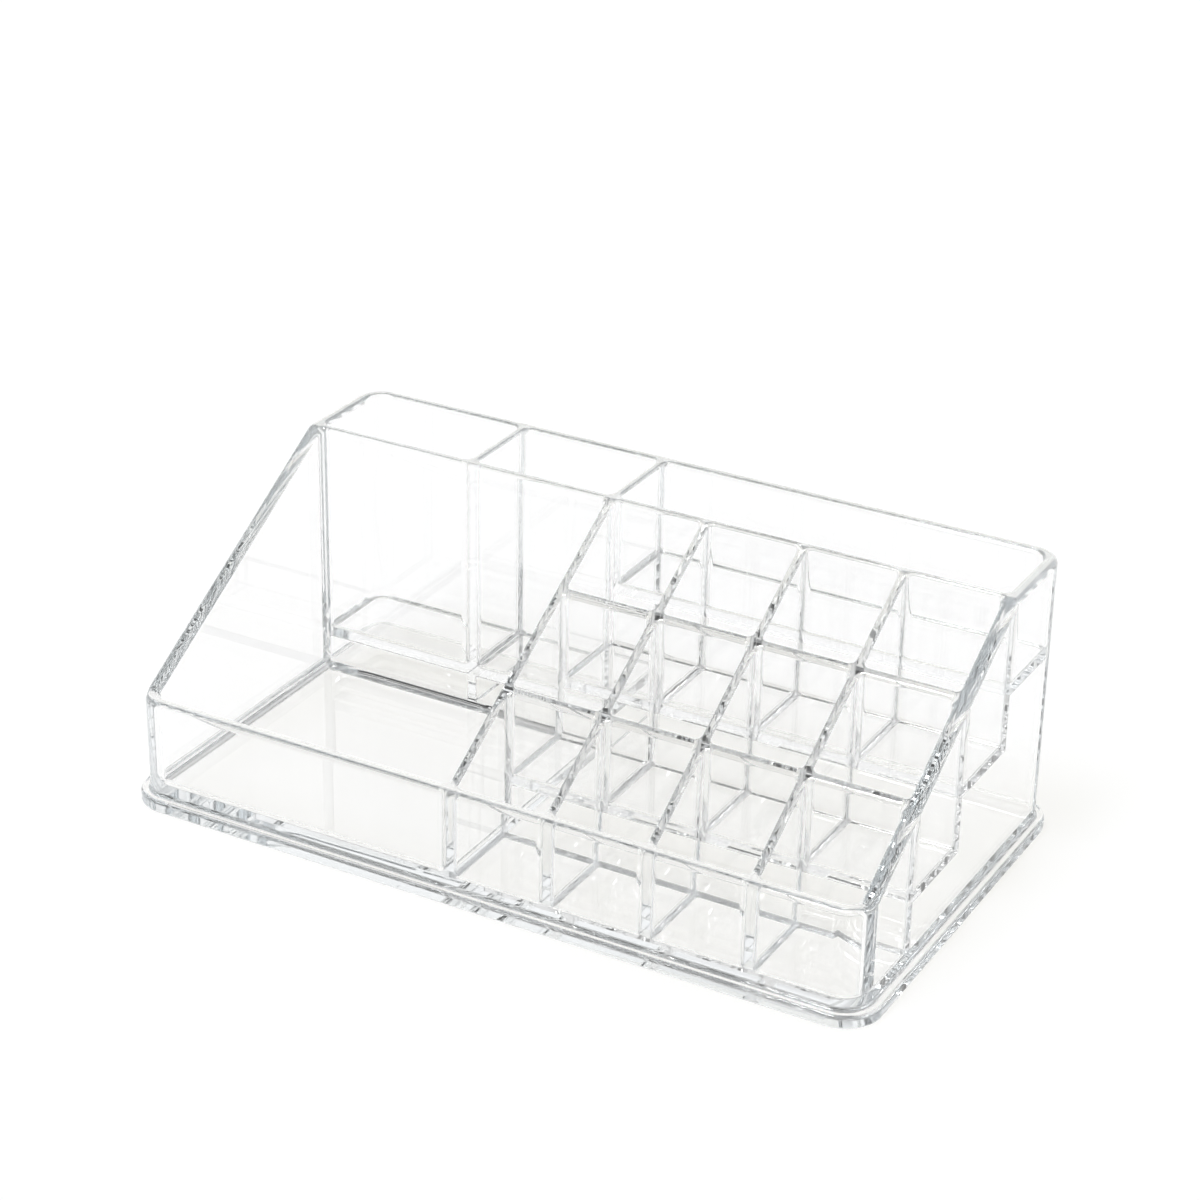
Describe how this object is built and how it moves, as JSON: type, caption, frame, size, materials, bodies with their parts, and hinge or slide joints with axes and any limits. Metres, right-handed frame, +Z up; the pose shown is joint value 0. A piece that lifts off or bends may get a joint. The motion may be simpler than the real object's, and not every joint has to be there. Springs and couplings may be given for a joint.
{
  "type": "makeup organiser",
  "caption": "Clear acrylic vanity organiser: an open front tray, stepped lipstick slots and a rear row of upright compartments inside a sloping wrap-round wall.",
  "frame": {"origin": "on the resting plane, under the middle of the base", "axes": "+X runs to the right along the front, seen from the front; +Y runs from the front to the back; +Z is up"},
  "size_m": [0.2048, 0.1148, 0.0746],
  "materials": {
    "clear_acrylic": "polished clear acrylic with rounded, polished rims"
  },
  "bodies": {
    "root": {"base_plate": "clear_acrylic", "outer_shell": "clear_acrylic", "tray_divider": "clear_acrylic", "slot_divider_1": "clear_acrylic", "slot_divider_2": "clear_acrylic", "slot_divider_3": "clear_acrylic", "slot_riser_1": "clear_acrylic", "slot_riser_2": "clear_acrylic", "slot_floor_2": "clear_acrylic", "slot_floor_3": "clear_acrylic", "rear_partition": "clear_acrylic", "rear_divider_left": "clear_acrylic", "rear_divider_right": "clear_acrylic", "rear_floor_left": "clear_acrylic", "rear_floor_middle": "clear_acrylic", "rear_floor_right": "clear_acrylic"}
  },
  "joints": []
}
